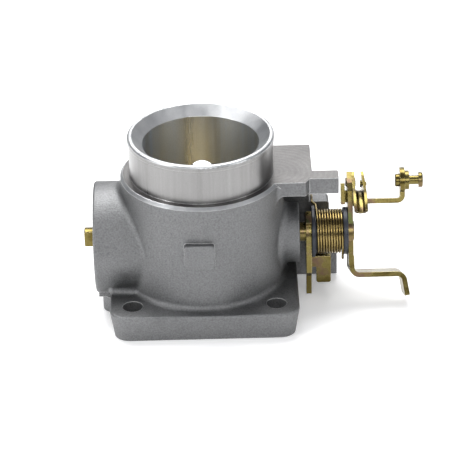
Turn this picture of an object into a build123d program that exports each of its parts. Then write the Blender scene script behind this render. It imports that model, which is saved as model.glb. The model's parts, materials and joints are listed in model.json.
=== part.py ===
from build123d import *
from math import cos, radians, sin
import os

# Cable-operated throttle body, in millimetres.
# Origin: centre of the flange's mounting face, on the bore axis.
# +Z runs up the bore to the air inlet, +X along the shaft to the cable linkage,
# +Y to the idle-air side.

os.makedirs("parts", exist_ok=True)

# ---- sizes: bore, neck and barrel ----
bore_d = 65.0
body_height = 102.5
mouth_d = 77.0
mouth_depth = 5.2
neck_d = 80.4
bead_d = 81.8
bead_height = 3.2
shoulder_z = 79.5
barrel_d = 91.0
shoulder_chamfer = 1.6
lip_r = 1.45
overlap = 1.0

# ---- sizes: mounting flange ----
flange_width = 106.0
flange_thickness = 16.0
flange_corner_r = 11.0
flange_draft = 9.0
bolt_spacing = 80.0
bolt_hole_d = 11.2
flange_edge_r = 1.2
barrel_foot_r = 3.0

# ---- sizes: throttle shaft and its bearings ----
shaft_z = 39.0
shaft_d = 11.0
bush_od = 16.0
bush_length = 12.0
running_gap = 0.03
seal_od = 20.0
seal_thickness = 3.5
seal_gap = 0.06
seal_lip = 1.2
bush_chamfer = 0.5
passage_gap = 0.4

# ---- sizes: sensor side (left) ----
sensor_boss_d = 63.0
sensor_face_stand = 8.0
sensor_face_x = -flange_width / 2 - sensor_face_stand
pilot_d = 25.0
pilot_depth = 3.0
sensor_hole_spacing = 42.0
sensor_hole_d = 4.2
sensor_hole_depth = 12.0
sensor_web_width = 34.0
sensor_web_x = sensor_face_x + 1.2
sensor_web_bottom = 9.5
sensor_boss_root_r = 4.0
sensor_rim_r = 1.5
lug_margin = 2.0
lug_corner_r = 7.0
tang_width = 6.0
tang_length = 6.2
shaft_left_x = sensor_face_x - tang_length
tang_chamfer = 0.5
clip_groove_offset = 0.7
clip_groove_width = 0.9
clip_groove_depth = 0.8
clip_thickness = 0.85
clip_rim = 3.0
clip_mouth = 0.6
washer_thickness = 1.0

# ---- sizes: linkage side (right) ----
linkage_boss_d = 34.0
linkage_face_stand = 1.2
linkage_face_x = flange_width / 2 + linkage_face_stand
linkage_boss_root_r = 4.5
linkage_rim_r = 1.0
arm_thickness = 8.4
arm_front_y = -18.0
arm_back_y = 29.0
arm_right_x = linkage_face_x + 7.4
arm_front_corner_x = linkage_face_x + 3.1
arm_notch_x = linkage_face_x + 5.6
arm_corner_r = 1.5
arm_root_r = 4.0
finger_root_x = linkage_face_x - 4.2
finger_corner_r = 1.0
finger_right_x = linkage_face_x + 21.8
finger_front_y = -13.4
finger_back_y = -3.6
finger_thickness = 9.5
bracket_front_y = 15.0
bracket_thickness = 9.0
bracket_bottom_z = 2.4
bracket_corner_r = 2.0
wing_corner_r = 0.8
wing_right_x = linkage_face_x + 22.4
wing_top_z = 26.0
post_right_x = linkage_face_x + 17.8
leg_rest_gap = 0.1

# ---- sizes: front pad and idle-air side (back) ----
pad_x = -2.0
pad_width = 16.6
pad_bottom_z = 42.5
pad_top_z = 57.9
pad_face_y = -48.6
pad_corner_r = 1.8
pad_edge_r = 0.8
pad_root_depth = 5.0
idle_pad_width = 44.0
idle_pad_face_y = 54.0
idle_port_d = 15.6
idle_port_upper_z = 61.5
idle_port_lower_z = 20.0
idle_hole_spacing = 34.0
idle_hole_d = 5.0
idle_hole_depth = 14.0
idle_pad_margin = 5.0
idle_pad_corner_r = 5.0

# ---- sizes: throttle plate ----
closed_angle = 6.0
travel = 82.0
plate_thickness = 2.0
plate_edge_gap = 0.15
slot_gap = 0.05
plate_screw_spacing = 28.0
plate_screw_d = 4.0
plate_screw_head_d = 7.4
plate_screw_head_height = 1.8
screw_seat_height = 4.2
screw_seat_margin = 1.6
screw_slot_width = 0.9
screw_slot_depth = 1.1
screw_slot_share = 0.55
screw_head_r = 0.9
screw_tail_proud = 0.5

# ---- sizes: stop lever ----
sheet = 3.0
stop_lever_x = linkage_face_x + 3.7
stop_hub_r = 11.0
stop_gap = 0.35
ear_contact_angle = 65.0
ear_span = 28.0
toe_y = -14.0
toe_z = -19.0
toe_left_y = -9.5
toe_shoulder_z = -23.0
toe_tip_z = -35.2
toe_width = 5.0
tab_front_y = -2.0
tab_left_x = linkage_face_x + 9.7
tab_right_x = linkage_face_x + 18.0
tab_bottom_z = -32.3
tab_neck_z = -22.0
tab_top_z = -15.2
tab_corner_r = 1.4

# ---- sizes: idle stop screw ----
idle_screw_x = linkage_face_x + 13.8
idle_screw_z = 13.0
idle_screw_d = 6.0
thread_gap = 0.08
idle_screw_contact_gap = 0.1
idle_screw_length = 38.0
nut_across_flats = 10.0
nut_height = 5.0
screw_tip_chamfer = 0.8
key_across_flats = 3.5
key_depth = 3.0

# ---- sizes: return spring and its nylon bushes ----
wire_d = 1.4
leg_bend_r = 1.6
coil_turns = 9.25
coil_pitch = 1.525
coil_outer_d = 25.4
coil_left_x = linkage_face_x + 9.8
fixed_leg_step = -2.1
fixed_leg_corner_y = 9.2
fixed_leg_step_y = 12.6
fixed_leg_end_y = 23.0
moving_leg_length = 11.4
inner_flange_rim = 1.9
inner_bush_flange = 2.1
outer_flange_rim = 0.7
outer_bush_flange = 2.6
bush_edge_r = 0.5
bush_end_gap = 0.1
sleeve_gap = 0.6
bush_bore_gap = 0.2

# ---- sizes: throttle lever, cable quadrant and stud ----
lever_sheet = 2.8
lever_x = linkage_face_x + 27.5
lever_tilt = 24.5
lever_hub_r = 10.5
plate_half = 9.5
upper_arm_s = 16.5
upper_arm_width = 7.0
upper_arm_bend_x = linkage_face_x + 58.8
lug_r = 7.4
stud_s = 27.8
lower_arm_s = -24.4
lower_arm_width = 13.0
lower_arm_bend_x = linkage_face_x + 57.9
lower_tip_s = -36.6
lower_tip_x = linkage_face_x + 59.9
lower_arm_bend_r = 4.2
lower_arm_skew = 0.07
upper_arm_bend_r = 3.0
plate_foot_rise = 5.0
finger_top_half = 2.0
finger_shoulder_s = 27.5
finger_shoulder_half = 6.8
shaft_end_proud = 0.8
ear_plate_x = linkage_face_x + 24.0
ear_plate_top_s = 26.9
ear_plate_foot_s = 15.0
ear_plate_width = 12.0
ear_plate_middle = 2.0
ear_plate_sheet = 2.3
spacer_middle = 6.75
spacer_s = 19.0
spacer_width = 2.5
spacer_height = 7.0
quadrant_span = 7.5
quadrant_sheet = 1.6
quadrant_floor_r = 22.8
quadrant_rim_r = 33.4
quadrant_front = 60.0
quadrant_back = 55.0
quadrant_lean = 1.6
groove_corner_share = 0.42
cheek_r = 26.5
cheek_foot_half = 17.0
cheek_foot_s = 15.0
cheek_shoulder_half = 4.5
cheek_shoulder_drop = 2.0
cheek_top_half = 2.5
rivet_d = 3.2
rivet_head_d = 4.8
rivet_head_height = 0.7
rivet_tail_height = 0.5
rivet_head_r = 0.5
rivet_s = 27.4
rivet_spacing = 6.0
cable_rivet_s = 26.3
cable_rivet_shank_d = 2.4
cable_rivet_head_d = 4.0
cable_rivet_head = 1.0
cable_rivet_gap = 0.2
cable_rivet_proud = 1.0
stud_shank_d = 5.2
stud_collar_d = 11.0
stud_head_d = 8.7
stud_tail_d = 7.4
stud_right_x = linkage_face_x + 70.6
stud_tail_length = 2.6
stud_collar_length = 2.5
stud_head_length = 2.5
stud_edge_r = 0.9

# ---- worked-out places ----
bore_r = bore_d / 2
barrel_r = barrel_d / 2
shaft_r = shaft_d / 2
arm_bottom_z = shoulder_z - arm_thickness
stop_lever_right = stop_lever_x + sheet
lever_right = lever_x + lever_sheet
coil_r = (coil_outer_d - wire_d) / 2
bush_sleeve_d = coil_outer_d - 2 * wire_d - 2 * sleeve_gap
inner_bush_flange_d = coil_outer_d + 2 * inner_flange_rim
outer_bush_flange_d = coil_outer_d + 2 * outer_flange_rim
coil_right_x = coil_left_x + coil_turns * coil_pitch
post_top_z = shaft_z + coil_r - wire_d / 2 - leg_rest_gap
idle_tip_y = tab_front_y + sheet + idle_screw_contact_gap
bracket_back_y = bracket_front_y + bracket_thickness
ear_r = (bracket_front_y - stop_gap) / sin(radians(ear_contact_angle))
ear_rest_angle = travel - ear_contact_angle


def across_shaft(x):
    """Plane square to the shaft at x; its own axes are Y and Z, from the shaft's centre."""
    return Plane(origin=(x, 0, shaft_z), x_dir=(0, 1, 0), z_dir=(1, 0, 0))


def along_lever(offset=0.0):
    """Plane through the shaft and the lever's long direction; its own axes are X and outwards."""
    tilt = radians(lever_tilt)
    normal = Vector(0, -cos(tilt), sin(tilt))
    return Plane(origin=Vector(0, 0, shaft_z) + normal * offset, x_dir=(1, 0, 0), z_dir=normal)


def across_lever(x):
    """Plane square to the shaft at x; its second axis is the lever's long direction."""
    tilt = radians(lever_tilt)
    return Plane(origin=(x, 0, shaft_z), x_dir=(0, cos(tilt), -sin(tilt)), z_dir=(1, 0, 0))


def forward_of_up(radius, angle):
    """Point at an angle measured from straight up towards the front, in across_shaft axes."""
    return (-radius * sin(radians(angle)), radius * cos(radians(angle)))


def facing(y):
    """Plane facing the front at y; its own axes are X and Z."""
    return Plane(origin=(0, y, 0), x_dir=(1, 0, 0), z_dir=(0, -1, 0))


# ---- housing: one aluminium casting, machined at the neck, bore, faces and holes ----
with BuildPart() as housing:
    with BuildSketch(Plane.XY.offset(flange_thickness)):
        RectangleRounded(flange_width, flange_width, flange_corner_r)
    extrude(amount=-flange_thickness, taper=flange_draft)
    flange_rim = housing.faces().sort_by(Axis.Z)[-1].edges()
    fillet(flange_rim, flange_edge_r)
    with BuildSketch(Plane.XY.offset(flange_thickness)):
        Circle(barrel_r)
    extrude(amount=shoulder_z - flange_thickness)
    chamfer(housing.edges().filter_by(GeomType.CIRCLE).sort_by(Axis.Z)[-1], shoulder_chamfer)

    # linkage boss and sensor boss, blended into the barrel
    with BuildSketch(across_shaft(0)):
        Circle(linkage_boss_d / 2)
    extrude(amount=linkage_face_x)
    linkage_root = housing.edges().filter_by(GeomType.BSPLINE).filter_by(
        lambda edge: edge.center().X > 0 and edge.center().Z > flange_thickness
    )
    fillet(linkage_root, linkage_boss_root_r)
    with BuildSketch(across_shaft(sensor_face_x)):
        Circle(sensor_boss_d / 2)
    extrude(amount=-sensor_face_x)
    sensor_root = housing.edges().filter_by(GeomType.BSPLINE).filter_by(
        lambda edge: sensor_face_x < edge.center().X < 0 and edge.center().Z > flange_thickness
    )
    fillet(sensor_root, sensor_boss_root_r)
    foot = housing.edges().filter_by(GeomType.CIRCLE).filter_by(
        lambda edge: abs(edge.radius - barrel_r) < 0.01 and edge.center().Z < flange_thickness + 1
    )
    fillet(foot, barrel_foot_r)
    for face_x, rim_r in ((sensor_face_x, sensor_rim_r), (linkage_face_x, linkage_rim_r)):
        rim = housing.edges().filter_by(GeomType.CIRCLE).filter_by(
            lambda edge: abs(edge.center().X - face_x) < 0.01
        )
        fillet(rim, rim_r)

    # the sensor boss's lower web and the flange's bulge below it
    with BuildSketch(Plane.XY.offset(sensor_web_bottom)):
        with Locations((sensor_web_x / 2, 0)):
            Rectangle(-sensor_web_x, sensor_web_width)
    extrude(amount=shaft_z - sensor_web_bottom)
    with BuildSketch(Plane.XY):
        with Locations(((sensor_web_x + lug_margin) / 2, 0)):
            RectangleRounded(-sensor_web_x - lug_margin, sensor_web_width + 2 * lug_margin, lug_corner_r)
    extrude(amount=sensor_web_bottom)

    # top arm blended into the barrel, with its finger
    with BuildSketch(Plane.XY.offset(arm_bottom_z)) as arm_plan:
        with BuildLine():
            Polyline(
                (0, arm_front_y), (arm_front_corner_x, arm_front_y), (arm_notch_x, finger_front_y),
                (arm_right_x, finger_back_y), (arm_right_x, arm_back_y), (0, arm_back_y), close=True,
            )
        make_face()
        fillet(arm_plan.vertices().group_by(Axis.X)[1:3], arm_corner_r)
    extrude(amount=arm_thickness)
    arm_root = housing.edges().filter_by(GeomType.CIRCLE).filter_by(
        lambda edge: abs(edge.radius - barrel_r) < 0.01 and abs(edge.center().Z - arm_bottom_z) < 0.01
    )
    arm_side = housing.edges().filter_by(Axis.Z).filter_by(
        lambda edge: abs(edge.center().Y - arm_front_y) < 0.01 and edge.center().X < barrel_r
    )
    fillet(arm_root + arm_side, arm_root_r)
    with BuildSketch(Plane.XY.offset(shoulder_z - finger_thickness)) as finger_plan:
        with BuildLine():
            Polyline(
                (finger_root_x, finger_front_y), (finger_right_x, finger_front_y),
                (finger_right_x, finger_back_y), (finger_root_x, finger_back_y), close=True,
            )
        make_face()
        fillet(finger_plan.vertices().group_by(Axis.X)[-1], finger_corner_r)
    extrude(amount=finger_thickness)

    # rear bracket: a wall with the idle screw's wing below and the spring's post above
    with BuildSketch(facing(bracket_back_y)) as bracket_side:
        with BuildLine():
            Polyline(
                (0, bracket_bottom_z), (wing_right_x, bracket_bottom_z), (wing_right_x, wing_top_z),
                (post_right_x, wing_top_z), (post_right_x, post_top_z), (arm_right_x - overlap, post_top_z),
                (arm_right_x - overlap, arm_bottom_z + overlap), (0, arm_bottom_z + overlap), close=True,
            )
        make_face()
        fillet(bracket_side.vertices().sort_by(Axis.X)[-2:], wing_corner_r)
        fillet(bracket_side.vertices().filter_by(
            lambda corner: abs(corner.X - post_right_x) < 0.01), bracket_corner_r)
    extrude(amount=bracket_thickness)

    # cast pad on the front and the idle-air pad on the back
    with BuildSketch(facing(pad_face_y)):
        with Locations((pad_x, (pad_bottom_z + pad_top_z) / 2)):
            RectangleRounded(pad_width, pad_top_z - pad_bottom_z, pad_corner_r)
    extrude(amount=pad_face_y + barrel_r - pad_root_depth)
    pad_rim = housing.faces().filter_by(Axis.Y).filter_by(
        lambda face: abs(face.center().Y - pad_face_y) < 0.01
    )[0].edges()
    fillet(pad_rim, pad_edge_r)
    with BuildSketch(Plane.XY):
        with Locations((0, idle_pad_face_y / 2)):
            Rectangle(idle_pad_width, idle_pad_face_y)
    extrude(amount=idle_port_upper_z + idle_port_d / 2 + idle_pad_margin)
    idle_corners = housing.edges().filter_by(Axis.Z).group_by(Axis.Y)[-1]
    fillet(idle_corners, idle_pad_corner_r)

    # turned neck with its rolled lip
    with BuildSketch(Plane.XZ):
        with BuildLine():
            Polyline(
                (0, shoulder_z - overlap), (neck_d / 2, shoulder_z - overlap),
                (neck_d / 2, body_height - bead_height), (bead_d / 2, body_height - bead_height),
                (bead_d / 2, body_height), (0, body_height), close=True,
            )
        make_face()
    revolve(axis=Axis.Z)
    lip = housing.edges().filter_by(GeomType.CIRCLE).group_by(Axis.Z)[-1]
    fillet(lip, lip_r)

    # main bore with its flared mouth
    with BuildSketch(Plane.XZ):
        with BuildLine():
            mouth_start = (bore_r, body_height - mouth_depth)
            mouth_end = (mouth_d / 2, body_height)
            Polyline((0, body_height + overlap), (0, -overlap), (bore_r, -overlap), mouth_start)
            Line(mouth_start, mouth_end)
            Polyline(mouth_end, (mouth_d / 2, body_height + overlap), (0, body_height + overlap))
        make_face()
    revolve(axis=Axis.Z, mode=Mode.SUBTRACT)

    # flange holes
    with BuildSketch(Plane.XY):
        with GridLocations(bolt_spacing, bolt_spacing, 2, 2):
            Circle(bolt_hole_d / 2)
    extrude(amount=2 * flange_thickness, mode=Mode.SUBTRACT)

    # shaft passage, bush bores, seal pockets and the sensor's pilot recess
    with BuildSketch(across_shaft(sensor_face_x - overlap)):
        Circle(shaft_r + passage_gap)
    extrude(amount=linkage_face_x - sensor_face_x + 2 * overlap, mode=Mode.SUBTRACT)
    seal_left_x = sensor_face_x + pilot_depth
    bush_left_x = seal_left_x + seal_thickness
    seal_right_x = linkage_face_x - seal_thickness
    bush_right_x = seal_right_x - bush_length
    for pocket_x, pocket_d, pocket_length in (
        (sensor_face_x - overlap, pilot_d, pilot_depth + overlap),
        (seal_left_x - overlap, seal_od, seal_thickness + overlap),
        (bush_left_x - overlap, bush_od, bush_length + overlap),
        (seal_right_x, seal_od, seal_thickness + overlap),
        (bush_right_x, bush_od, bush_length + overlap),
    ):
        with BuildSketch(across_shaft(pocket_x)):
            Circle(pocket_d / 2)
        extrude(amount=pocket_length, mode=Mode.SUBTRACT)

    # sensor screw holes, idle-air ports and screw holes, idle stop screw's tapped hole
    with BuildSketch(across_shaft(sensor_face_x)):
        with GridLocations(sensor_hole_spacing, 1, 2, 1):
            Circle(sensor_hole_d / 2)
    extrude(amount=sensor_hole_depth, mode=Mode.SUBTRACT)
    with BuildSketch(facing(idle_pad_face_y)):
        with Locations((0, idle_port_upper_z), (0, idle_port_lower_z)):
            Circle(idle_port_d / 2)
    extrude(amount=idle_pad_face_y - bore_r / 2, mode=Mode.SUBTRACT)
    with BuildSketch(facing(idle_pad_face_y)):
        with Locations((0, (idle_port_upper_z + idle_port_lower_z) / 2)):
            with GridLocations(idle_hole_spacing, 1, 2, 1):
                Circle(idle_hole_d / 2)
    extrude(amount=idle_hole_depth, mode=Mode.SUBTRACT)
    with BuildSketch(facing(bracket_back_y)):
        with Locations((idle_screw_x, idle_screw_z)):
            Circle(idle_screw_d / 2 + thread_gap)
    extrude(amount=bracket_thickness, mode=Mode.SUBTRACT)
housing.part.label = "housing"
export_step(housing.part, "parts/housing.step")

# ---- fixed pieces in the housing: bushes, seals and the idle stop screw with its nut ----
for side, bush_x, seal_x in (("left", bush_left_x, seal_left_x), ("right", bush_right_x, seal_right_x)):
    with BuildPart() as shaft_bush:
        with BuildSketch(across_shaft(bush_x)):
            Circle(bush_od / 2)
            Circle(shaft_r + running_gap, mode=Mode.SUBTRACT)
        extrude(amount=bush_length)
        chamfer(shaft_bush.edges().filter_by(GeomType.CIRCLE).sort_by(SortBy.RADIUS)[-2:], bush_chamfer)
    shaft_bush.part.label = f"shaft_bush_{side}"
    export_step(shaft_bush.part, f"parts/shaft_bush_{side}.step")

    with BuildPart() as shaft_seal:
        with BuildSketch(across_shaft(seal_x)):
            Circle(seal_od / 2)
            Circle(shaft_r + seal_gap, mode=Mode.SUBTRACT)
        extrude(amount=seal_thickness)
        groove_x = seal_x if side == "left" else seal_x + seal_thickness - seal_lip
        with BuildSketch(across_shaft(groove_x)):
            Circle(seal_od / 2 - seal_lip)
            Circle(shaft_r + seal_lip, mode=Mode.SUBTRACT)
        extrude(amount=seal_lip, mode=Mode.SUBTRACT)
    shaft_seal.part.label = f"shaft_seal_{side}"
    export_step(shaft_seal.part, f"parts/shaft_seal_{side}.step")

with BuildPart() as idle_stop_screw:
    with BuildSketch(facing(idle_tip_y)):
        with Locations((idle_screw_x, idle_screw_z)):
            Circle(idle_screw_d / 2)
    extrude(amount=-idle_screw_length)
    chamfer(idle_stop_screw.faces().sort_by(Axis.Y)[0].edges(), screw_tip_chamfer)
    with BuildSketch(facing(idle_tip_y + idle_screw_length)):
        with Locations((idle_screw_x, idle_screw_z)):
            RegularPolygon(key_across_flats / 2, 6, major_radius=False)
    extrude(amount=key_depth, mode=Mode.SUBTRACT)
idle_stop_screw.part.label = "idle_stop_screw"
export_step(idle_stop_screw.part, "parts/idle_stop_screw.step")

with BuildPart() as idle_lock_nut:
    with BuildSketch(facing(bracket_back_y)):
        with Locations((idle_screw_x, idle_screw_z)):
            RegularPolygon(nut_across_flats / 2, 6, major_radius=False)
            Circle(idle_screw_d / 2 + thread_gap, mode=Mode.SUBTRACT)
    extrude(amount=-nut_height)
idle_lock_nut.part.label = "idle_lock_nut"
export_step(idle_lock_nut.part, "parts/idle_lock_nut.step")

# ---- throttle shaft: slotted for the plate, flat tang for the position sensor ----
tilted = Plane(origin=(0, 0, shaft_z), x_dir=(1, 0, 0),
               z_dir=(0, sin(radians(closed_angle)), cos(radians(closed_angle))))
slot_half = bore_r - plate_edge_gap
with BuildPart() as throttle_shaft:
    with BuildSketch(across_shaft(shaft_left_x)):
        Circle(shaft_r)
    extrude(amount=lever_right + shaft_end_proud - shaft_left_x)
    tang = throttle_shaft.faces().sort_by(Axis.X)[0].edges()
    chamfer(tang, tang_chamfer)
    for side in (1, -1):
        with BuildSketch(Plane.XY.offset(shaft_z - shaft_d)):
            with Locations((shaft_left_x + tang_length / 2, side * (tang_width + shaft_d) / 2)):
                Rectangle(tang_length, shaft_d)
        extrude(amount=2 * shaft_d, mode=Mode.SUBTRACT)
    clip_x = sensor_face_x + clip_groove_offset
    with BuildSketch(across_shaft(clip_x)):
        Circle(shaft_r + overlap)
        Circle(shaft_r - clip_groove_depth, mode=Mode.SUBTRACT)
    extrude(amount=clip_groove_width, mode=Mode.SUBTRACT)
    with BuildSketch(tilted.offset(-plate_thickness / 2 - slot_gap)):
        Rectangle(2 * slot_half + 2 * slot_gap, 2 * shaft_d)
    extrude(amount=plate_thickness + 2 * slot_gap, mode=Mode.SUBTRACT)
    with BuildSketch(tilted.offset(screw_seat_height)):
        with GridLocations(plate_screw_spacing, 1, 2, 1):
            Rectangle(plate_screw_head_d + screw_seat_margin, 2 * shaft_d)
    extrude(amount=shaft_d, mode=Mode.SUBTRACT)
    with BuildSketch(tilted.offset(-shaft_d)):
        with GridLocations(plate_screw_spacing, 1, 2, 1):
            Circle(plate_screw_d / 2 + slot_gap)
    extrude(amount=2 * shaft_d, mode=Mode.SUBTRACT)
throttle_shaft.part.label = "throttle_shaft"
export_step(throttle_shaft.part, "parts/throttle_shaft.step")

# ---- throttle plate: a tilted slab trimmed by the bore, so its rim is bevelled to seal ----
with BuildPart() as throttle_plate:
    with BuildSketch(tilted.offset(-plate_thickness / 2)):
        Rectangle(1.1 * bore_d, 1.1 * bore_d)
    extrude(amount=plate_thickness)
    with BuildSketch(Plane.XY):
        Circle(bore_r - plate_edge_gap)
    extrude(amount=2 * shaft_z, mode=Mode.INTERSECT)
    with BuildSketch(tilted.offset(-plate_thickness)):
        with GridLocations(plate_screw_spacing, 1, 2, 1):
            Circle(plate_screw_d / 2 + slot_gap)
    extrude(amount=2 * plate_thickness, mode=Mode.SUBTRACT)
throttle_plate.part.label = "throttle_plate"
export_step(throttle_plate.part, "parts/throttle_plate.step")

with BuildPart() as plate_screws:
    with BuildSketch(tilted.offset(screw_seat_height)):
        with GridLocations(plate_screw_spacing, 1, 2, 1):
            Circle(plate_screw_head_d / 2)
    extrude(amount=plate_screw_head_height)
    with BuildSketch(tilted.offset(screw_seat_height)):
        with GridLocations(plate_screw_spacing, 1, 2, 1):
            Circle(plate_screw_d / 2)
    extrude(amount=-screw_seat_height - shaft_r + screw_tail_proud)
    head_rims = plate_screws.edges().filter_by(GeomType.CIRCLE).group_by(Axis.Z)[-1]
    fillet(head_rims, screw_head_r)
    with BuildSketch(tilted.offset(screw_seat_height + plate_screw_head_height)):
        with GridLocations(plate_screw_spacing, 1, 2, 1):
            Rectangle(plate_screw_head_d * screw_slot_share, screw_slot_width)
            Rectangle(screw_slot_width, plate_screw_head_d * screw_slot_share)
    extrude(amount=-screw_slot_depth, mode=Mode.SUBTRACT)
plate_screws.part.label = "plate_screws"
export_step(plate_screws.part, "parts/plate_screws.step")

# ---- left end of the shaft: retaining clip in its groove and a thrust washer ----
with BuildPart() as retaining_clip:
    with BuildSketch(across_shaft(clip_x)):
        Circle(shaft_r + clip_rim)
        Circle(shaft_r - clip_groove_depth + slot_gap, mode=Mode.SUBTRACT)
        with Locations((0, -shaft_r)):
            Rectangle(shaft_d * clip_mouth, shaft_d, mode=Mode.SUBTRACT)
    extrude(amount=clip_thickness)
retaining_clip.part.label = "retaining_clip"
export_step(retaining_clip.part, "parts/retaining_clip.step")

with BuildPart() as thrust_washer:
    with BuildSketch(across_shaft(clip_x + clip_groove_width + slot_gap)):
        Circle(shaft_r + clip_rim)
        Circle(shaft_r + running_gap, mode=Mode.SUBTRACT)
    extrude(amount=washer_thickness)
thrust_washer.part.label = "thrust_washer"
export_step(thrust_washer.part, "parts/thrust_washer.step")

# ---- stop lever: hub, wide-open ear, toe, and the bent tab that rests on the idle screw ----
with BuildPart() as stop_lever:
    with BuildSketch(across_shaft(stop_lever_x)):
        Circle(stop_hub_r)
        with BuildLine():
            Polyline(
                (0, 0), forward_of_up(ear_r, ear_rest_angle),
                forward_of_up(ear_r, ear_rest_angle + ear_span), close=True,
            )
        make_face()
        with BuildLine():
            Polyline(
                (-stop_hub_r, 0), (toe_y, toe_z), (toe_left_y - 1, toe_shoulder_z), (toe_left_y, toe_tip_z),
                (toe_left_y + toe_width, toe_tip_z), (toe_left_y + toe_width, tab_neck_z),
                (tab_front_y + sheet, tab_neck_z), (stop_hub_r - 1, -shaft_r), close=True,
            )
        make_face()
        Circle(shaft_r, mode=Mode.SUBTRACT)
    extrude(amount=sheet)
    with BuildSketch(facing(tab_front_y + sheet)) as tab_outline:
        with BuildLine():
            Polyline(
                (stop_lever_x, shaft_z + tab_neck_z), (tab_left_x, shaft_z + tab_neck_z),
                (tab_left_x, shaft_z + tab_bottom_z), (tab_right_x, shaft_z + tab_bottom_z),
                (tab_right_x, shaft_z + tab_top_z), (stop_lever_x, shaft_z + tab_top_z), close=True,
            )
        make_face()
        fillet(tab_outline.vertices().group_by(Axis.Y)[0], tab_corner_r)
    extrude(amount=sheet)
stop_lever.part.label = "stop_lever"
export_step(stop_lever.part, "parts/stop_lever.step")

# ---- nylon bushes that carry the return spring ----
sleeve_joint_x = (coil_left_x + coil_right_x) / 2
for side, flange_x, flange_length, flange_d, sleeve_end_x in (
    (
        "inner", stop_lever_right + bush_end_gap, inner_bush_flange, inner_bush_flange_d,
        sleeve_joint_x - bush_end_gap,
    ),
    (
        "outer", lever_x - bush_end_gap, -outer_bush_flange, outer_bush_flange_d,
        sleeve_joint_x + bush_end_gap,
    ),
):
    with BuildPart() as spring_bush:
        with BuildSketch(across_shaft(flange_x)):
            Circle(flange_d / 2)
        extrude(amount=flange_length)
        fillet(spring_bush.edges().filter_by(GeomType.CIRCLE), bush_edge_r)
        with BuildSketch(across_shaft(flange_x)):
            Circle(bush_sleeve_d / 2)
        extrude(amount=sleeve_end_x - flange_x)
        with BuildSketch(across_shaft(stop_lever_right)):
            Circle(shaft_r + bush_bore_gap)
        extrude(amount=lever_x - stop_lever_right, mode=Mode.SUBTRACT)
    spring_bush.part.label = f"spring_bush_{side}"
    export_step(spring_bush.part, f"parts/spring_bush_{side}.step")

# ---- return spring: one close-wound wire; the fixed leg leans on the rear post ----
with BuildPart() as return_spring:
    with BuildLine() as coil_path:
        Helix(
            coil_pitch, coil_turns * coil_pitch, coil_r,
            center=(coil_left_x, 0, shaft_z), direction=(1, 0, 0),
        )
    coil_start = coil_path.line @ 0
    coil_end = coil_path.line @ 1
    with BuildSketch(Plane(origin=coil_start, z_dir=coil_path.line % 0)):
        Circle(wire_d / 2)
    sweep(path=coil_path.line, is_frenet=True)
    with BuildSketch(Plane(origin=coil_end, z_dir=coil_path.line % 1)):
        Circle(wire_d / 2)
    extrude(amount=moving_leg_length)
    leg_direction = coil_path.line % 0 * -1
    leg_corner = coil_start + leg_direction * fixed_leg_corner_y
    leg_x = coil_left_x + fixed_leg_step
    with BuildLine() as leg_path:
        FilletPolyline(
            coil_start, leg_corner, (leg_x, fixed_leg_step_y, coil_start.Z),
            (leg_x, fixed_leg_end_y, coil_start.Z), radius=leg_bend_r,
        )
    with BuildSketch(Plane(origin=coil_start, z_dir=leg_direction)):
        Circle(wire_d / 2)
    sweep(path=leg_path.line)
return_spring.part.label = "return_spring"
export_step(return_spring.part, "parts/return_spring.step")

# ---- throttle lever: a plate with one arm bent out at each end ----
with BuildPart() as throttle_lever:
    plate_foot_s = lower_arm_s + plate_foot_rise
    with BuildSketch(across_lever(lever_x)):
        Circle(lever_hub_r)
        with BuildLine():
            Polyline(
                (-lower_arm_width / 2, plate_foot_s), (lower_arm_width / 2, plate_foot_s),
                (plate_half, -shaft_r), (plate_half, quadrant_floor_r),
                (finger_shoulder_half, finger_shoulder_s), (finger_top_half, quadrant_rim_r),
                (-finger_top_half, quadrant_rim_r), (-finger_shoulder_half, finger_shoulder_s),
                (-plate_half, quadrant_floor_r), (-plate_half, -shaft_r), close=True,
            )
        make_face()
        Circle(shaft_r, mode=Mode.SUBTRACT)
    extrude(amount=lever_sheet)
    mid_x = lever_x + lever_sheet / 2
    with BuildSketch(along_lever()):
        with BuildLine() as lower_path:
            FilletPolyline(
                (mid_x, -outer_bush_flange_d / 2 - bush_end_gap), (mid_x, lower_arm_s),
                (lower_arm_bend_x, lower_arm_s),
                (lower_tip_x, lower_tip_s), radius=lower_arm_bend_r,
            )
        trace(lower_path.line, lever_sheet)
    twist = along_lever().z_dir + lower_arm_skew * Vector(1, 0, -1)
    extrude(amount=lower_arm_width / 2, dir=twist, both=True)
    with BuildSketch(along_lever()):
        with BuildLine() as upper_path:
            FilletPolyline(
                (mid_x, upper_arm_s), (upper_arm_bend_x, upper_arm_s), (upper_arm_bend_x, stud_s),
                radius=upper_arm_bend_r,
            )
        trace(upper_path.line, lever_sheet)
    extrude(amount=upper_arm_width / 2, both=True)
    lug_x = upper_arm_bend_x - lever_sheet / 2
    with BuildSketch(across_lever(lug_x)):
        with Locations((0, stud_s)):
            Circle(lug_r)
    extrude(amount=lever_sheet)
    with BuildSketch(across_lever(ear_plate_x)):
        with Locations((ear_plate_middle, (ear_plate_top_s + ear_plate_foot_s) / 2)):
            Rectangle(ear_plate_width, ear_plate_top_s - ear_plate_foot_s)
    extrude(amount=ear_plate_sheet)
    with BuildSketch(across_lever(ear_plate_x)):
        with Locations((spacer_middle, spacer_s)):
            Rectangle(spacer_width, spacer_height)
    extrude(amount=lever_x - ear_plate_x)
    with BuildSketch(across_lever(lug_x)):
        with Locations((0, stud_s)):
            Circle(stud_shank_d / 2)
    extrude(amount=lever_sheet, mode=Mode.SUBTRACT)
    with BuildSketch(across_lever(lever_x)):
        with Locations((0, rivet_s)):
            with GridLocations(rivet_spacing, 1, 2, 1):
                Circle(rivet_d / 2)
    extrude(amount=lever_sheet, mode=Mode.SUBTRACT)
throttle_lever.part.label = "throttle_lever"
export_step(throttle_lever.part, "parts/throttle_lever.step")

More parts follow.
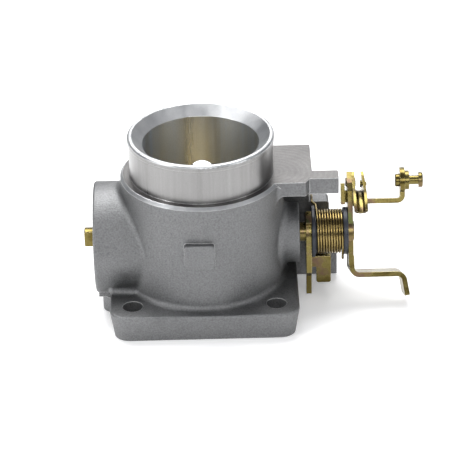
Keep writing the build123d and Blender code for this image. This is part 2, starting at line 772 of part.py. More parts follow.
# ---- cable quadrant: a U-section groove bent round the shaft, riveted to the lever ----
groove_mid_r = quadrant_floor_r - quadrant_sheet / 2
groove_left_x = lever_right + quadrant_sheet / 2
quadrant_right_x = lever_right + quadrant_span
quadrant_x = (groove_left_x + quadrant_right_x) / 2
front_turn = radians(lever_tilt - quadrant_front)
front_end = Plane(
    origin=(0, 0, shaft_z), x_dir=(1, 0, 0), z_dir=(0, -cos(front_turn), sin(front_turn))
)
with BuildPart() as cable_quadrant:
    with BuildSketch(front_end):
        with BuildLine() as groove_path:
            FilletPolyline(
                (groove_left_x, quadrant_rim_r), (groove_left_x, groove_mid_r),
                (quadrant_right_x, groove_mid_r), (quadrant_right_x - quadrant_lean, quadrant_rim_r),
                radius=groove_corner_share * (quadrant_right_x - groove_left_x),
            )
        trace(groove_path.line, quadrant_sheet)
    revolve(axis=Axis((0, 0, shaft_z), (-1, 0, 0)), revolution_arc=quadrant_front + quadrant_back)
    with BuildSketch(across_lever(lever_x)):
        Circle(cheek_r)
        with BuildLine():
            Polyline(
                (-cheek_foot_half, cheek_foot_s), (cheek_foot_half, cheek_foot_s),
                (cheek_shoulder_half, quadrant_rim_r - cheek_shoulder_drop),
                (cheek_top_half, quadrant_rim_r),
                (-cheek_top_half, quadrant_rim_r),
                (-cheek_shoulder_half, quadrant_rim_r - cheek_shoulder_drop), close=True,
            )
        make_face()
    extrude(amount=2 * (quadrant_right_x - lever_x), mode=Mode.INTERSECT)
    with BuildSketch(across_lever(lever_x)):
        with Locations((0, rivet_s)):
            with GridLocations(rivet_spacing, 1, 2, 1):
                Circle(rivet_d / 2)
    extrude(amount=quadrant_x - lever_x, mode=Mode.SUBTRACT)
    with BuildSketch(across_lever(quadrant_x)):
        with Locations((0, cable_rivet_s)):
            Circle(cable_rivet_shank_d / 2)
    extrude(amount=quadrant_right_x - lever_x, mode=Mode.SUBTRACT)
cable_quadrant.part.label = "cable_quadrant"
export_step(cable_quadrant.part, "parts/cable_quadrant.step")

# ---- quadrant rivets, the cable end's rivet and the stepped cable stud ----
with BuildPart() as quadrant_rivets:
    with BuildSketch(across_lever(lever_x)):
        with Locations((0, rivet_s)):
            with GridLocations(rivet_spacing, 1, 2, 1):
                Circle(rivet_d / 2)
    extrude(amount=lever_sheet + quadrant_sheet)
    for head_x, head_height in (
        (lever_x, -rivet_head_height), (lever_right + quadrant_sheet, rivet_tail_height),
    ):
        with BuildSketch(across_lever(head_x)):
            with Locations((0, rivet_s)):
                with GridLocations(rivet_spacing, 1, 2, 1):
                    Circle(rivet_head_d / 2)
        extrude(amount=head_height)
    fillet(quadrant_rivets.edges().filter_by(GeomType.CIRCLE).group_by(Axis.X)[0], rivet_head_r)
quadrant_rivets.part.label = "quadrant_rivets"
export_step(quadrant_rivets.part, "parts/quadrant_rivets.step")

with BuildPart() as cable_end_rivet:
    rivet_left_x = quadrant_right_x - quadrant_lean
    head_left_x = rivet_left_x - cable_rivet_head - cable_rivet_gap
    with BuildSketch(across_lever(head_left_x)):
        with Locations((0, cable_rivet_s)):
            Circle(cable_rivet_head_d / 2)
    extrude(amount=cable_rivet_head)
    with BuildSketch(across_lever(head_left_x)):
        with Locations((0, cable_rivet_s)):
            Circle(cable_rivet_shank_d / 2)
    extrude(amount=cable_rivet_head + cable_rivet_gap + quadrant_sheet + cable_rivet_proud)
cable_end_rivet.part.label = "cable_end_rivet"
export_step(cable_end_rivet.part, "parts/cable_end_rivet.step")

with BuildPart() as cable_stud:
    lug_right_x = lug_x + lever_sheet
    for start_x, end_x, step_d in (
        (lug_x - stud_tail_length, lug_x, stud_tail_d), (lug_x, lug_right_x, stud_shank_d),
        (lug_right_x, lug_right_x + stud_collar_length, stud_collar_d),
        (lug_right_x + stud_collar_length, stud_right_x, stud_shank_d),
        (stud_right_x - stud_head_length, stud_right_x, stud_head_d),
    ):
        with BuildSketch(across_lever(start_x)):
            with Locations((0, stud_s)):
                Circle(step_d / 2)
        extrude(amount=end_x - start_x)
    fillet(cable_stud.edges().filter_by(GeomType.CIRCLE).group_by(Axis.X)[0], stud_edge_r)
    fillet(cable_stud.edges().filter_by(GeomType.CIRCLE).group_by(Axis.X)[-1], stud_edge_r)
cable_stud.part.label = "cable_stud"
export_step(cable_stud.part, "parts/cable_stud.step")
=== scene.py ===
import json
import math
import bmesh
import bpy
from mathutils import Matrix, Vector


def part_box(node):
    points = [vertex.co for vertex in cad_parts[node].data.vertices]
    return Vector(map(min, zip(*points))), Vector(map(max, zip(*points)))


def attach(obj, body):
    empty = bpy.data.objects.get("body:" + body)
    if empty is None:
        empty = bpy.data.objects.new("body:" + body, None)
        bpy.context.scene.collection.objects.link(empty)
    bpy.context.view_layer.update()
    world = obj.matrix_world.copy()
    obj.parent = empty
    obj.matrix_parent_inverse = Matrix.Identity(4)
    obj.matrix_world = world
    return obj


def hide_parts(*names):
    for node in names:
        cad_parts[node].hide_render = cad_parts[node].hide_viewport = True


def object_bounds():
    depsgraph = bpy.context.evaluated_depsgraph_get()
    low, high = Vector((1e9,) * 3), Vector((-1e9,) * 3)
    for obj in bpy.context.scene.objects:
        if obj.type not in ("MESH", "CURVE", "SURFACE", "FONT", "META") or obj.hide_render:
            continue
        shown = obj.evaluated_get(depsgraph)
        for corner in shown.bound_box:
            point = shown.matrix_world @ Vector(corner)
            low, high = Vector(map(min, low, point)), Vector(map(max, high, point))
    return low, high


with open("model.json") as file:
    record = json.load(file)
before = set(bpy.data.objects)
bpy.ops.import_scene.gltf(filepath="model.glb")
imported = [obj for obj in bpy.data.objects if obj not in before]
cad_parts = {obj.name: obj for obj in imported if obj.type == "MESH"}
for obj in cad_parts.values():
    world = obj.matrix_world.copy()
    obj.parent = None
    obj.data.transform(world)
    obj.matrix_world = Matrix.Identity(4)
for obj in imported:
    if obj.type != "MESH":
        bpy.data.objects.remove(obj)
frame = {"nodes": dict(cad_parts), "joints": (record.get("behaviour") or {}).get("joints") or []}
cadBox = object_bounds()
nodes = frame["nodes"]
print("loaded", len(nodes), "pieces")

# ---- camera: a long lens, a little to the left of square-on, tipped by a degree
cameraSetup = {
    "aim": (0.020, 0.0, 0.045),
    "azimuth": -0.44,
    "elevation": 28.6,
    "roll": 1.2,
    "distance": 1.3,
    "lens": 180.0,
    "shiftX": -0.0183,
    "shiftY": -0.0135,
    "clipEnd": 20,
}


def placeCamera(setup):
    az = math.radians(setup["azimuth"])
    el = math.radians(setup["elevation"])
    roll = math.radians(setup["roll"])
    back = Vector((math.sin(az) * math.cos(el), -math.cos(az) * math.cos(el), math.sin(el)))
    right = Vector((math.cos(az), math.sin(az), 0))
    up = back.cross(right)
    rolledRight = right * math.cos(roll) - up * math.sin(roll)
    rolledUp = up * math.cos(roll) + right * math.sin(roll)
    data = bpy.data.cameras.new("productCamera")
    data.lens = setup["lens"]
    data.shift_x = setup["shiftX"]
    data.shift_y = setup["shiftY"]
    data.clip_end = setup["clipEnd"]
    cam = bpy.data.objects.new("productCamera", data)
    bpy.context.collection.objects.link(cam)
    turn = Matrix((rolledRight, rolledUp, back)).transposed().to_4x4()
    cam.matrix_world = Matrix.Translation(Vector(setup["aim"]) + back * setup["distance"]) @ turn
    bpy.context.scene.camera = cam


placeCamera(cameraSetup)
print("camera placed")

# ---- light: soft boxes above, in front, behind and at each side, in a room that darkens towards the horizon
studio = {
    # (height share, colour): 0.5 is the horizon, 1 is straight up
    "roomTones": [(0.48, (0.23, 0.24, 0.26)), (0.62, (0.37, 0.38, 0.40)), (0.85, (0.74, 0.75, 0.78))],
    "roomStrength": 0.50,
    "lookAt": (0, 0, 0.05),
    "boxes": {
        "topBox": {"at": (-0.15, 0.42, 1.10), "size": (1.0, 0.7), "watts": 19},
        "leftBox": {"at": (-0.95, -0.55, 0.60), "size": (0.35, 0.8), "watts": 6},
        "rightBox": {"at": (0.95, -0.45, 0.55), "size": (0.25, 0.7), "watts": 2.5},
        "frontBox": {"at": (0.10, -1.20, 0.75), "size": (0.8, 0.35), "watts": 5},
        "backBox": {"at": (0.20, 1.20, 0.60), "size": (0.9, 0.4), "watts": 3},
    },
}


def rampOf(tree, stops):
    ramp = tree.nodes.new("ShaderNodeValToRGB")
    points = ramp.color_ramp.elements
    while len(points) < len(stops):
        points.new(0.5)
    for point, (place, colour) in zip(points, stops):
        point.position = place
        point.color = (*colour, 1)
    return ramp


def addLights(setup):
    world = bpy.data.worlds.new("paleRoom")
    bpy.context.scene.world = world
    world.use_nodes = True
    tree = world.node_tree
    background = tree.nodes["Background"]
    where = tree.nodes.new("ShaderNodeTexCoord")
    parts = tree.nodes.new("ShaderNodeSeparateXYZ")
    half = tree.nodes.new("ShaderNodeMapRange")
    half.inputs["From Min"].default_value = -1  # straight down gives 0
    tone = rampOf(tree, setup["roomTones"])
    tree.links.new(where.outputs["Generated"], parts.inputs["Vector"])
    tree.links.new(parts.outputs["Z"], half.inputs["Value"])
    tree.links.new(half.outputs["Result"], tone.inputs["Fac"])
    tree.links.new(tone.outputs["Color"], background.inputs["Color"])
    background.inputs["Strength"].default_value = setup["roomStrength"]
    for name, box in setup["boxes"].items():
        data = bpy.data.lights.new(name, "AREA")
        data.shape = "RECTANGLE"
        data.size, data.size_y = box["size"]
        data.energy = box["watts"]
        lamp = bpy.data.objects.new(name, data)
        bpy.context.collection.objects.link(lamp)
        lamp.location = box["at"]
        aim = Vector(setup["lookAt"]) - Vector(box["at"])
        lamp.rotation_euler = aim.to_track_quat("-Z", "Y").to_euler()


addLights(studio)
bpy.context.scene.view_settings.view_transform = "Standard"
print("lights set")


# ---- finishes
def startFinish(name):
    material = bpy.data.materials.new(name)
    material.use_nodes = True
    tree = material.node_tree
    return material, tree, tree.nodes["Principled BSDF"]


def addNode(tree, kind, **settings):
    node = tree.nodes.new(kind)
    for key, value in settings.items():
        if key in node.inputs:
            node.inputs[key].default_value = value
        else:
            setattr(node, key, value)
    return node


# tones: colour by patch; patch and grain: pattern scales; grainDepth, edge, rings, circles: metres
finishes = {
    "castSkin": {
        "tones": [
            (0.25, (0.192, 0.194, 0.197)), (0.55, (0.236, 0.239, 0.242)), (0.8, (0.277, 0.279, 0.281)),
        ],
        "patch": 60, "stretch": (1, 1, 1), "rough": (0.46, 0.62), "metal": 1.0,
        "grain": 1150, "grainDepth": 0.00030, "grainTone": 0.34,
        "edge": 0.0007, "edgeRubAndGlintTone": (0.85, 0.85, 0.85),
    },
    # painted light: a lighter copy of the turned finish for the flare, lip and chamfer, which face up
    # towards the lamps
    "turnedPaintedLit": {
        "tones": [
            (0.3, (0.461, 0.47, 0.483)), (0.5, (0.516, 0.525, 0.534)), (0.7, (0.572, 0.576, 0.58)),
        ],
        "patch": 120, "stretch": (1, 1, 0.05), "rough": (0.34, 0.44), "metal": 1.0,
        "grain": 2600, "grainDepth": 0.00002, "grainTone": 0.12,
        "edge": 0.0005, "edgeRubAndGlintTone": (0.85, 0.85, 0.85),
        "rings": 0.00045, "ringDepth": 0.00001,
    },
    # painted shade: a darker copy of the same turned finish for the upright neck wall
    "turnedNeckPaintedShade": {
        "tones": [
            (0.3, (0.235, 0.231, 0.228)), (0.5, (0.286, 0.282, 0.279)), (0.7, (0.34, 0.337, 0.333)),
        ],
        "patch": 150, "stretch": (1, 1, 0.03), "rough": (0.27, 0.36), "metal": 1.0,
        "grain": 2600, "grainDepth": 0.00002, "grainTone": 0.15,
        "edge": 0.0005, "edgeRubAndGlintTone": (0.8, 0.8, 0.8),
        "rings": 0.00035, "ringDepth": 0.00001, "brushed": 0.5,
    },
    "boredWall": {
        "tones": [
            (0.35, (0.674, 0.649, 0.574)), (0.5, (0.716, 0.727, 0.729)), (0.65, (0.708, 0.757, 0.825)),
        ],
        "patch": 70, "stretch": (1, 1, 0.03), "rough": (0.26, 0.42), "metal": 1.0,
        "grain": 2200, "grainDepth": 0.00002, "grainTone": 0.15,
        "edge": 0.0005, "edgeRubAndGlintTone": (0.8, 0.8, 0.78),
        "rings": 0.0005, "ringDepth": 0.00001, "brushed": 0.5,
    },
    "milledFace": {
        "tones": [
            (0.3, (0.374, 0.374, 0.374)), (0.5, (0.432, 0.432, 0.432)), (0.7, (0.504, 0.504, 0.504)),
        ],
        "patch": 90, "stretch": (1, 1, 1), "rough": (0.28, 0.40), "metal": 1.0,
        "grain": 1800, "grainDepth": 0.00004, "grainTone": 0.2,
        "edge": 0.0005, "edgeRubAndGlintTone": (0.65, 0.65, 0.65),
        "circles": 0.0009, "ringDepth": 0.00002,
    },
    # painted shade: the milled finish made darker for the up-facing shoulder and arm top, with real swirl
    # marks from the cutter
    "milledTopPaintedShade": {
        "tones": [
            (0.3, (0.143, 0.136, 0.136)), (0.5, (0.188, 0.183, 0.18)), (0.7, (0.23, 0.224, 0.219)),
        ],
        "patch": 70, "stretch": (1, 1, 1), "rough": (0.32, 0.46), "metal": 1.0,
        "grain": 1500, "grainDepth": 0.00005, "grainTone": 0.25,
        "edge": 0.0006, "edgeRubAndGlintTone": (0.75, 0.75, 0.75),
        "circles": 0.0031, "ringDepth": 0.00004, "ringTone": 0.09,
        "centre": (-0.040, 0.004, 0), "waver": 2.6,
    },
    "yellowZinc": {
        "tones": [
            (0.25, (0.0605, 0.0507, 0.0161)), (0.40, (0.139, 0.106, 0.0317)), (0.50, (0.19, 0.156, 0.0547)),
            (0.60, (0.167, 0.106, 0.072)), (0.70, (0.0918, 0.11, 0.0403)), (0.85, (0.173, 0.141, 0.0518)),
        ],
        "patch": 70, "stretch": (1, 1, 1), "rough": (0.20, 0.34), "metal": 1.0,
        "grain": 1300, "grainDepth": 0.00002, "grainTone": 0.15,
        "edge": 0.0004, "edgeRubAndGlintTone": (0.62, 0.54, 0.30),
    },
    "agedBrass": {
        "tones": [
            (0.3, (0.368, 0.288, 0.144)), (0.5, (0.48, 0.384, 0.2)), (0.75, (0.56, 0.464, 0.272)),
        ],
        "patch": 70, "stretch": (1, 1, 1), "rough": (0.24, 0.42), "metal": 1.0,
        "grain": 1900, "grainDepth": 0.00003, "grainTone": 0.2,
        "edge": 0.0004, "edgeRubAndGlintTone": (0.9, 0.8, 0.5),
        "circles": 0.0011, "ringDepth": 0.00002,
    },
    "brightZinc": {
        "tones": [
            (0.3, (0.24, 0.245, 0.255)), (0.5, (0.30, 0.305, 0.315)), (0.75, (0.36, 0.365, 0.375)),
        ],
        "patch": 130, "stretch": (1, 1, 1), "rough": (0.20, 0.34), "metal": 1.0,
        "grain": 2000, "grainDepth": 0.00002, "grainTone": 0.2,
        "edge": 0.0003, "edgeRubAndGlintTone": (0.9, 0.9, 0.92),
    },
    "sinteredBronze": {
        "tones": [
            (0.3, (0.34, 0.20, 0.09)), (0.5, (0.48, 0.31, 0.15)), (0.75, (0.58, 0.40, 0.22)),
        ],
        "patch": 160, "stretch": (1, 1, 1), "rough": (0.36, 0.52), "metal": 1.0,
        "grain": 3000, "grainDepth": 0.00006, "grainTone": 0.4,
        "edge": 0.0003, "edgeRubAndGlintTone": (0.7, 0.5, 0.3),
    },
    "sealRubber": {
        "tones": [
            (0.3, (0.012, 0.012, 0.012)), (0.7, (0.03, 0.03, 0.03)),
        ],
        "patch": 200, "stretch": (1, 1, 1), "rough": (0.5, 0.7), "metal": 0.0,
        "grain": 2500, "grainDepth": 0.00004, "grainTone": 0.3,
        "edge": 0.0003, "edgeRubAndGlintTone": (0.05, 0.05, 0.05),
    },
    "blackNylon": {
        "tones": [
            (0.3, (0.010, 0.012, 0.018)), (0.7, (0.022, 0.027, 0.040)),
        ],
        "patch": 140, "stretch": (1, 1, 1), "rough": (0.32, 0.48), "metal": 0.0,
        "grain": 2200, "grainDepth": 0.00002, "grainTone": 0.3,
        "edge": 0.0004, "edgeRubAndGlintTone": (0.05, 0.06, 0.08),
    },
    "springBronze": {
        "tones": [
            (0.3, (0.216, 0.162, 0.0612)), (0.5, (0.288, 0.216, 0.0864)), (0.75, (0.346, 0.274, 0.122)),
        ],
        "patch": 60, "stretch": (1, 1, 1), "rough": (0.20, 0.30), "metal": 1.0,
        "grain": 2600, "grainDepth": 0.00001, "grainTone": 0.10,
        "edge": 0.0001, "edgeRubAndGlintTone": (0.5, 0.4, 0.2),
    },
}


# what all the finishes share
pattern = {
    "patchDetail": 6.0, "patchRoughness": 0.6, "grainDetail": 3.0, "grainRoughness": 0.65,
    "grainSpan": (0.30, 0.62), "shineSpan": (0.35, 0.65), "markSpan": (0.2, 0.8),
    # rub keys: where the rubbed wear and painted edge highlight start, become full, and how strong they get
    # at most
    "roundSamples": 4, "rubGlintStart": 0.995, "rubGlintFull": 0.86, "rubGlintMost": 0.75,
    "waveShare": 0.314, "waver": 0.6, "brushTurn": 0.25, "white": (1.0, 1.0, 1.0),
}


def multiplied(tree, lower, upper):
    mix = addNode(tree, "ShaderNodeMix", data_type="RGBA", blend_type="MULTIPLY")
    mix.inputs["Factor"].default_value = 1
    tree.links.new(lower, mix.inputs["A"])
    tree.links.new(upper, mix.inputs["B"])
    return mix.outputs["Result"]


def darkened(tree, height, depth, span):
    low = 1 - depth
    tone = rampOf(tree, [(span[0], (low, low, low)), (span[1], pattern["white"])])
    tree.links.new(height, tone.inputs["Fac"])
    return tone.outputs["Color"]


# rubbed wear and a painted highlight: edges turn towards the edge tone where the rounded normal leaves the
# flat one
def rubbedAndGlintEdges(tree, rounded, colour, edgeRubAndGlintTone):
    flat = addNode(tree, "ShaderNodeNewGeometry")
    apart = addNode(tree, "ShaderNodeVectorMath", operation="DOT_PRODUCT")
    tree.links.new(rounded, apart.inputs[0])
    tree.links.new(flat.outputs["Normal"], apart.inputs[1])
    rubAndGlint = addNode(tree, "ShaderNodeMapRange", interpolation_type="SMOOTHSTEP")
    rubAndGlint.inputs["From Min"].default_value = pattern["rubGlintStart"]
    rubAndGlint.inputs["From Max"].default_value = pattern["rubGlintFull"]
    rubAndGlint.inputs["To Max"].default_value = pattern["rubGlintMost"]
    tree.links.new(apart.outputs["Value"], rubAndGlint.inputs["Value"])
    # mix towards the edge tone: part rubbed wear, part painted highlight
    wornAndGlint = addNode(tree, "ShaderNodeMix", data_type="RGBA")
    tree.links.new(rubAndGlint.outputs["Result"], wornAndGlint.inputs["Factor"])
    tree.links.new(colour, wornAndGlint.inputs["A"])
    wornAndGlint.inputs["B"].default_value = (*edgeRubAndGlintTone, 1)
    return wornAndGlint.outputs["Result"]


def bumped(tree, height, depth, normal):
    bump = addNode(tree, "ShaderNodeBump", Strength=1.0)
    bump.inputs["Distance"].default_value = depth
    tree.links.new(height, bump.inputs["Height"])
    tree.links.new(normal, bump.inputs["Normal"])
    return bump.outputs["Normal"]


# a lathe leaves rings up the bore's axis, a mill leaves circles on a face
def toolMarks(tree, place, look):
    kind, pitch = ("BANDS", look["rings"]) if "rings" in look else ("RINGS", look["circles"])
    marks = addNode(tree, "ShaderNodeTexWave", wave_type=kind, bands_direction="Z", rings_direction="Z")
    marks.inputs["Scale"].default_value = pattern["waveShare"] / pitch
    marks.inputs["Distortion"].default_value = look.get("waver", pattern["waver"])
    centred = addNode(tree, "ShaderNodeMapping", Location=look.get("centre", (0, 0, 0)))
    tree.links.new(place, centred.inputs["Vector"])
    tree.links.new(centred.outputs["Vector"], marks.inputs["Vector"])
    return marks.outputs["Fac"]


def makeFinish(name, look):
    material, tree, shader = startFinish(name)
    link = tree.links.new
    place = addNode(tree, "ShaderNodeTexCoord").outputs["Object"]
    stretched = addNode(tree, "ShaderNodeMapping", Scale=look["stretch"])
    link(place, stretched.inputs["Vector"])
    patches = addNode(tree, "ShaderNodeTexNoise", Scale=look["patch"], Detail=pattern["patchDetail"],
                      Roughness=pattern["patchRoughness"])
    link(stretched.outputs["Vector"], patches.inputs["Vector"])
    tones = rampOf(tree, look["tones"])
    link(patches.outputs["Fac"], tones.inputs["Fac"])
    grain = addNode(tree, "ShaderNodeTexNoise", Scale=look["grain"], Detail=pattern["grainDetail"],
                    Roughness=pattern["grainRoughness"])
    link(place, grain.inputs["Vector"])
    pits = darkened(tree, grain.outputs["Fac"], look["grainTone"], pattern["grainSpan"])
    colour = multiplied(tree, tones.outputs["Color"], pits)
    rounded = addNode(tree, "ShaderNodeBevel", samples=pattern["roundSamples"])
    rounded.inputs["Radius"].default_value = look["edge"]
    colour = rubbedAndGlintEdges(tree, rounded.outputs["Normal"], colour, look["edgeRubAndGlintTone"])
    normal = bumped(tree, grain.outputs["Fac"], look["grainDepth"], rounded.outputs["Normal"])

    if "rings" in look or "circles" in look:
        marks = toolMarks(tree, place, look)
        if "ringTone" in look:
            colour = multiplied(tree, colour, darkened(tree, marks, look["ringTone"], pattern["markSpan"]))
        normal = bumped(tree, marks, look["ringDepth"], normal)

    shine = addNode(tree, "ShaderNodeMapRange")
    shine.inputs["From Min"].default_value, shine.inputs["From Max"].default_value = pattern["shineSpan"]
    shine.inputs["To Min"].default_value, shine.inputs["To Max"].default_value = look["rough"]
    link(patches.outputs["Fac"], shine.inputs["Value"])
    link(shine.outputs["Result"], shader.inputs["Roughness"])
    link(colour, shader.inputs["Base Color"])
    link(normal, shader.inputs["Normal"])
    shader.inputs["Metallic"].default_value = look["metal"]
    if "brushed" in look:  # brushed around the bore's axis
        around = addNode(tree, "ShaderNodeTangent", direction_type="RADIAL", axis="Z")
        link(around.outputs["Tangent"], shader.inputs["Tangent"])
        shader.inputs["Anisotropic"].default_value = look["brushed"]
        shader.inputs["Anisotropic Rotation"].default_value = pattern["brushTurn"]
    return material


made = {name: makeFinish(name, look) for name, look in finishes.items()}
print("finishes made:", len(made))

nodeFinish = {
    "housing": "castSkin", "shaft_bush_left": "sinteredBronze", "shaft_bush_right": "sinteredBronze",
    "shaft_seal_left": "sealRubber", "shaft_seal_right": "sealRubber", "idle_lock_nut": "yellowZinc",
    "idle_stop_screw": "brightZinc", "return_spring": "springBronze", "throttle_shaft": "yellowZinc",
    "throttle_plate": "agedBrass", "plate_screws": "brightZinc", "retaining_clip": "brightZinc",
    "thrust_washer": "brightZinc", "stop_lever": "yellowZinc", "spring_bush_inner": "blackNylon",
    "spring_bush_outer": "blackNylon", "throttle_lever": "yellowZinc", "cable_quadrant": "yellowZinc",
    "quadrant_rivets": "yellowZinc", "cable_end_rivet": "yellowZinc", "cable_stud": "yellowZinc",
}
for name, finishName in nodeFinish.items():
    mesh = nodes[name].data
    mesh.materials.clear()
    mesh.materials.append(made[finishName])

# the casting's cut faces, found by where they lie
cut = {
    "shoulder": 0.0795, "neckOutside": 0.0422, "boreWall": 0.0331,
    "chamferInside": 0.043, "chamferDrop": 0.002,
    "linkageFace": 0.0542, "touch": 0.0001, "slack": 0.0003,
    "square": 0.95, "sloped": 0.3, "upright": 0.2,
}
castLow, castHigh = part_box("housing")


def cutFinish(centre, normal):
    out = math.hypot(centre.x, centre.y)
    inward = centre.x * normal.x + centre.y * normal.y < 0
    if out < cut["boreWall"] and inward and abs(normal.z) < cut["sloped"]:
        return "boredWall"
    # the upright neck wall takes the darker turned copy as painted shade, the other neck faces take the
    # lighter copy as painted light
    if centre.z > cut["shoulder"] + cut["slack"] and out < cut["neckOutside"]:
        return "turnedNeckPaintedShade" if abs(normal.z) < cut["upright"] and not inward else "turnedPaintedLit"
    # up-facing faces at the shoulder take the darker milled copy as painted shade
    if normal.z > cut["square"] and abs(centre.z - cut["shoulder"]) < cut["slack"]:
        return "milledTopPaintedShade"
    # the chamfer takes the lighter turned copy as painted light
    chamfered = cut["sloped"] < normal.z < cut["square"] and out > cut["chamferInside"]
    if chamfered and centre.z > cut["shoulder"] - cut["chamferDrop"]:
        return "turnedPaintedLit"
    onIdlePad = centre.y > castHigh.y - cut["touch"]
    onSensorBoss = centre.x < castLow.x + cut["touch"]
    if centre.z < cut["slack"] or onIdlePad or onSensorBoss:
        return "milledFace"
    if normal.x > cut["square"] and abs(centre.x - cut["linkageFace"]) < cut["slack"]:
        return "milledFace"
    return "castSkin"


housingMesh = nodes["housing"].data
order = ["castSkin", "turnedPaintedLit", "turnedNeckPaintedShade", "boredWall", "milledFace", "milledTopPaintedShade"]
housingMesh.materials.clear()
for name in order:
    housingMesh.materials.append(made[name])
for face in housingMesh.polygons:
    face.material_index = order.index(cutFinish(face.center, face.normal))
print("finishes given to the pieces")


# ---- a piece made of rings, one after another, closed at both ends
def skinRings(rings, smooth):
    shape = bmesh.new()
    grid = [[shape.verts.new(point) for point in ring] for ring in rings]
    for lower, upper in zip(grid, grid[1:]):
        for step in range(len(lower)):
            after = (step + 1) % len(lower)
            face = shape.faces.new((lower[step], lower[after], upper[after], upper[step]))
            face.smooth = smooth
    shape.faces.new(grid[0])
    shape.faces.new(reversed(grid[-1]))
    bmesh.ops.recalc_face_normals(shape, faces=shape.faces)
    return shape


def addPiece(name, shape, finish):
    mesh = bpy.data.meshes.new(name)
    shape.to_mesh(mesh)
    shape.free()
    mesh.materials.append(finish)
    piece = bpy.data.objects.new(name, mesh)
    bpy.context.collection.objects.link(piece)
    return piece


# ---- idle stop screw: the real one's rolled thread, chamfered point and hexagon socket
idleScrew = {
    "pitch": 0.001, "threadDepth": 0.00052, "rootSlope": 2.6, "rootFlat": 0.15,
    "point": 0.0008, "endPoint": 0.0004, "pointWidth": 0.72, "socket": 0.00175, "socketDepth": 0.003,
    "stepsAround": 48, "stepsPerTurn": 10,
}


def threadRing(setup, along, length, crest):
    taper = min(1.0, along / setup["point"], (length - along) / setup["endPoint"])
    width = setup["pointWidth"] + (1 - setup["pointWidth"]) * taper
    ring = []
    for step in range(setup["stepsAround"]):
        turn = 2 * math.pi * step / setup["stepsAround"]
        phase = (along / setup["pitch"] - step / setup["stepsAround"]) % 1.0
        root = min(1.0, max(0.0, setup["rootSlope"] * abs(phase - 0.5) - setup["rootFlat"]))
        radius = (crest - setup["threadDepth"] * root) * width
        ring.append(Vector((radius * math.cos(turn), along, radius * math.sin(turn))))
    return ring


def hexagonRing(setup, along):
    side = math.pi / 3
    ring = []
    for step in range(setup["stepsAround"]):
        turn = 2 * math.pi * step / setup["stepsAround"]
        fromFlat = (turn + side / 2) % side - side / 2
        radius = setup["socket"] / math.cos(fromFlat)
        ring.append(Vector((radius * math.cos(turn), along, radius * math.sin(turn))))
    return ring


def threadedScrew(setup):
    low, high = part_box("idle_stop_screw")
    crest = (high.x - low.x) / 2
    length = high.y - low.y
    tall = int(length / setup["pitch"] * setup["stepsPerTurn"])
    rings = [threadRing(setup, length * row / tall, length, crest) for row in range(tall + 1)]
    rings.append(hexagonRing(setup, length))
    rings.append(hexagonRing(setup, length - setup["socketDepth"]))
    foot = Vector(((low.x + high.x) / 2, low.y, (low.z + high.z) / 2))
    rings = [[foot + point for point in ring] for ring in rings]
    screw = addPiece("idleScrewThreaded", skinRings(rings, smooth=False), made["brightZinc"])
    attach(screw, "idle_screw")
    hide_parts("idle_stop_screw")


threadedScrew(idleScrew)
print("screw threaded")

# ---- return spring: one smooth wire, its back leg stepped past the nylon bush, its front leg hanging
springWire = {
    "wire": 0.0014, "outer": 0.0254, "turns": 9.25, "pitch": 0.001525, "stepsPerTurn": 48, "around": 14,
    "legStepX": -0.0021, "legBendY": 0.0092, "legStepY": 0.0126, "legEndY": 0.0230,
    "bendRadius": 0.0016, "bendSteps": 6, "frontLeg": 0.0114,
}


def roundedCorner(before, corner, after, radius, steps):
    inward = (before - corner).normalized()
    onward = (after - corner).normalized()
    half = inward.angle(onward) / 2
    reach = radius / math.tan(half)
    start = corner + inward * reach
    end = corner + onward * reach
    points = []
    for step in range(steps + 1):
        share = step / steps
        points.append(start * (1 - share) ** 2 + corner * 2 * share * (1 - share) + end * share ** 2)
    return points


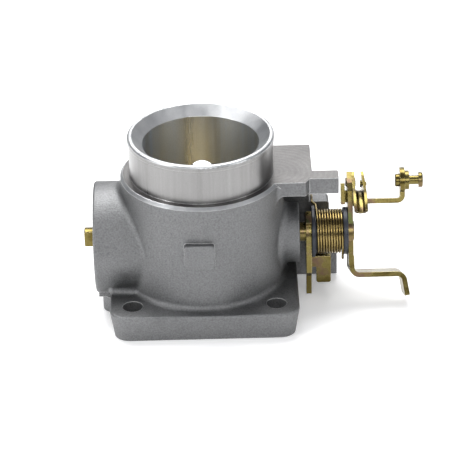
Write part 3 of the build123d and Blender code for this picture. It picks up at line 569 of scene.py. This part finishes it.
def springPath(setup):
    hinge = next(joint for joint in frame["joints"] if joint["name"] == "throttle_turn")
    shaftHeight = hinge["pos_m"][2]
    radius = (setup["outer"] - setup["wire"]) / 2
    steps = int(setup["turns"] * setup["stepsPerTurn"])
    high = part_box("return_spring")[1]
    left = high.x - setup["wire"] / 2 - setup["turns"] * setup["pitch"]
    coil = []
    for step in range(steps + 1):
        turns = setup["turns"] * step / steps
        angle = 2 * math.pi * turns
        across = -radius * math.sin(angle)
        coil.append(Vector((left + setup["pitch"] * turns, across, shaftHeight + radius * math.cos(angle))))
    start = coil[0]
    slope = setup["pitch"] / (2 * math.pi * radius)
    bend = start + Vector((-slope * setup["legBendY"], setup["legBendY"], 0))
    inner = Vector((left + setup["legStepX"], setup["legStepY"], start.z))
    tip = Vector((inner.x, setup["legEndY"], start.z))
    leg = roundedCorner(start, bend, inner, setup["bendRadius"], setup["bendSteps"])
    leg += roundedCorner(bend, inner, tip, setup["bendRadius"], setup["bendSteps"])
    leg.append(tip)
    return leg[::-1] + coil + [coil[-1] + Vector((0, 0, -setup["frontLeg"]))]


def wireSpring(setup):
    path = springPath(setup)
    rings = []
    side = Vector((1, 0, 0))
    for place, here in enumerate(path):
        ahead = path[min(place + 1, len(path) - 1)] - path[max(place - 1, 0)]
        ahead.normalize()
        side = (side - ahead * side.dot(ahead)).normalized()
        up = ahead.cross(side)
        ring = []
        for step in range(setup["around"]):
            turn = 2 * math.pi * step / setup["around"]
            ring.append(here + (side * math.cos(turn) + up * math.sin(turn)) * setup["wire"] / 2)
        rings.append(ring)
    spring = addPiece("returnSpringWire", skinRings(rings, smooth=True), made["springBronze"])
    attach(spring, "body")
    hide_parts("return_spring")


wireSpring(springWire)
print("spring wound")

# ---- floor
paleFloor = {"colour": (0.92, 0.92, 0.92), "glow": 0.22, "rough": 0.8, "half": 4, "drop": 0.0002}


def layFloor(setup):
    material, _, shader = startFinish("paleFloor")
    shader.inputs["Base Color"].default_value = (*setup["colour"], 1)
    shader.inputs["Roughness"].default_value = setup["rough"]
    shader.inputs["Emission Color"].default_value = (1, 1, 1, 1)
    shader.inputs["Emission Strength"].default_value = setup["glow"]
    shape = bmesh.new()
    bmesh.ops.create_grid(shape, x_segments=2, y_segments=2, size=setup["half"])
    floor = addPiece("floor", shape, material)
    floor.location.z = cadBox[0][2] - setup["drop"]


layFloor(paleFloor)
print("floor laid")
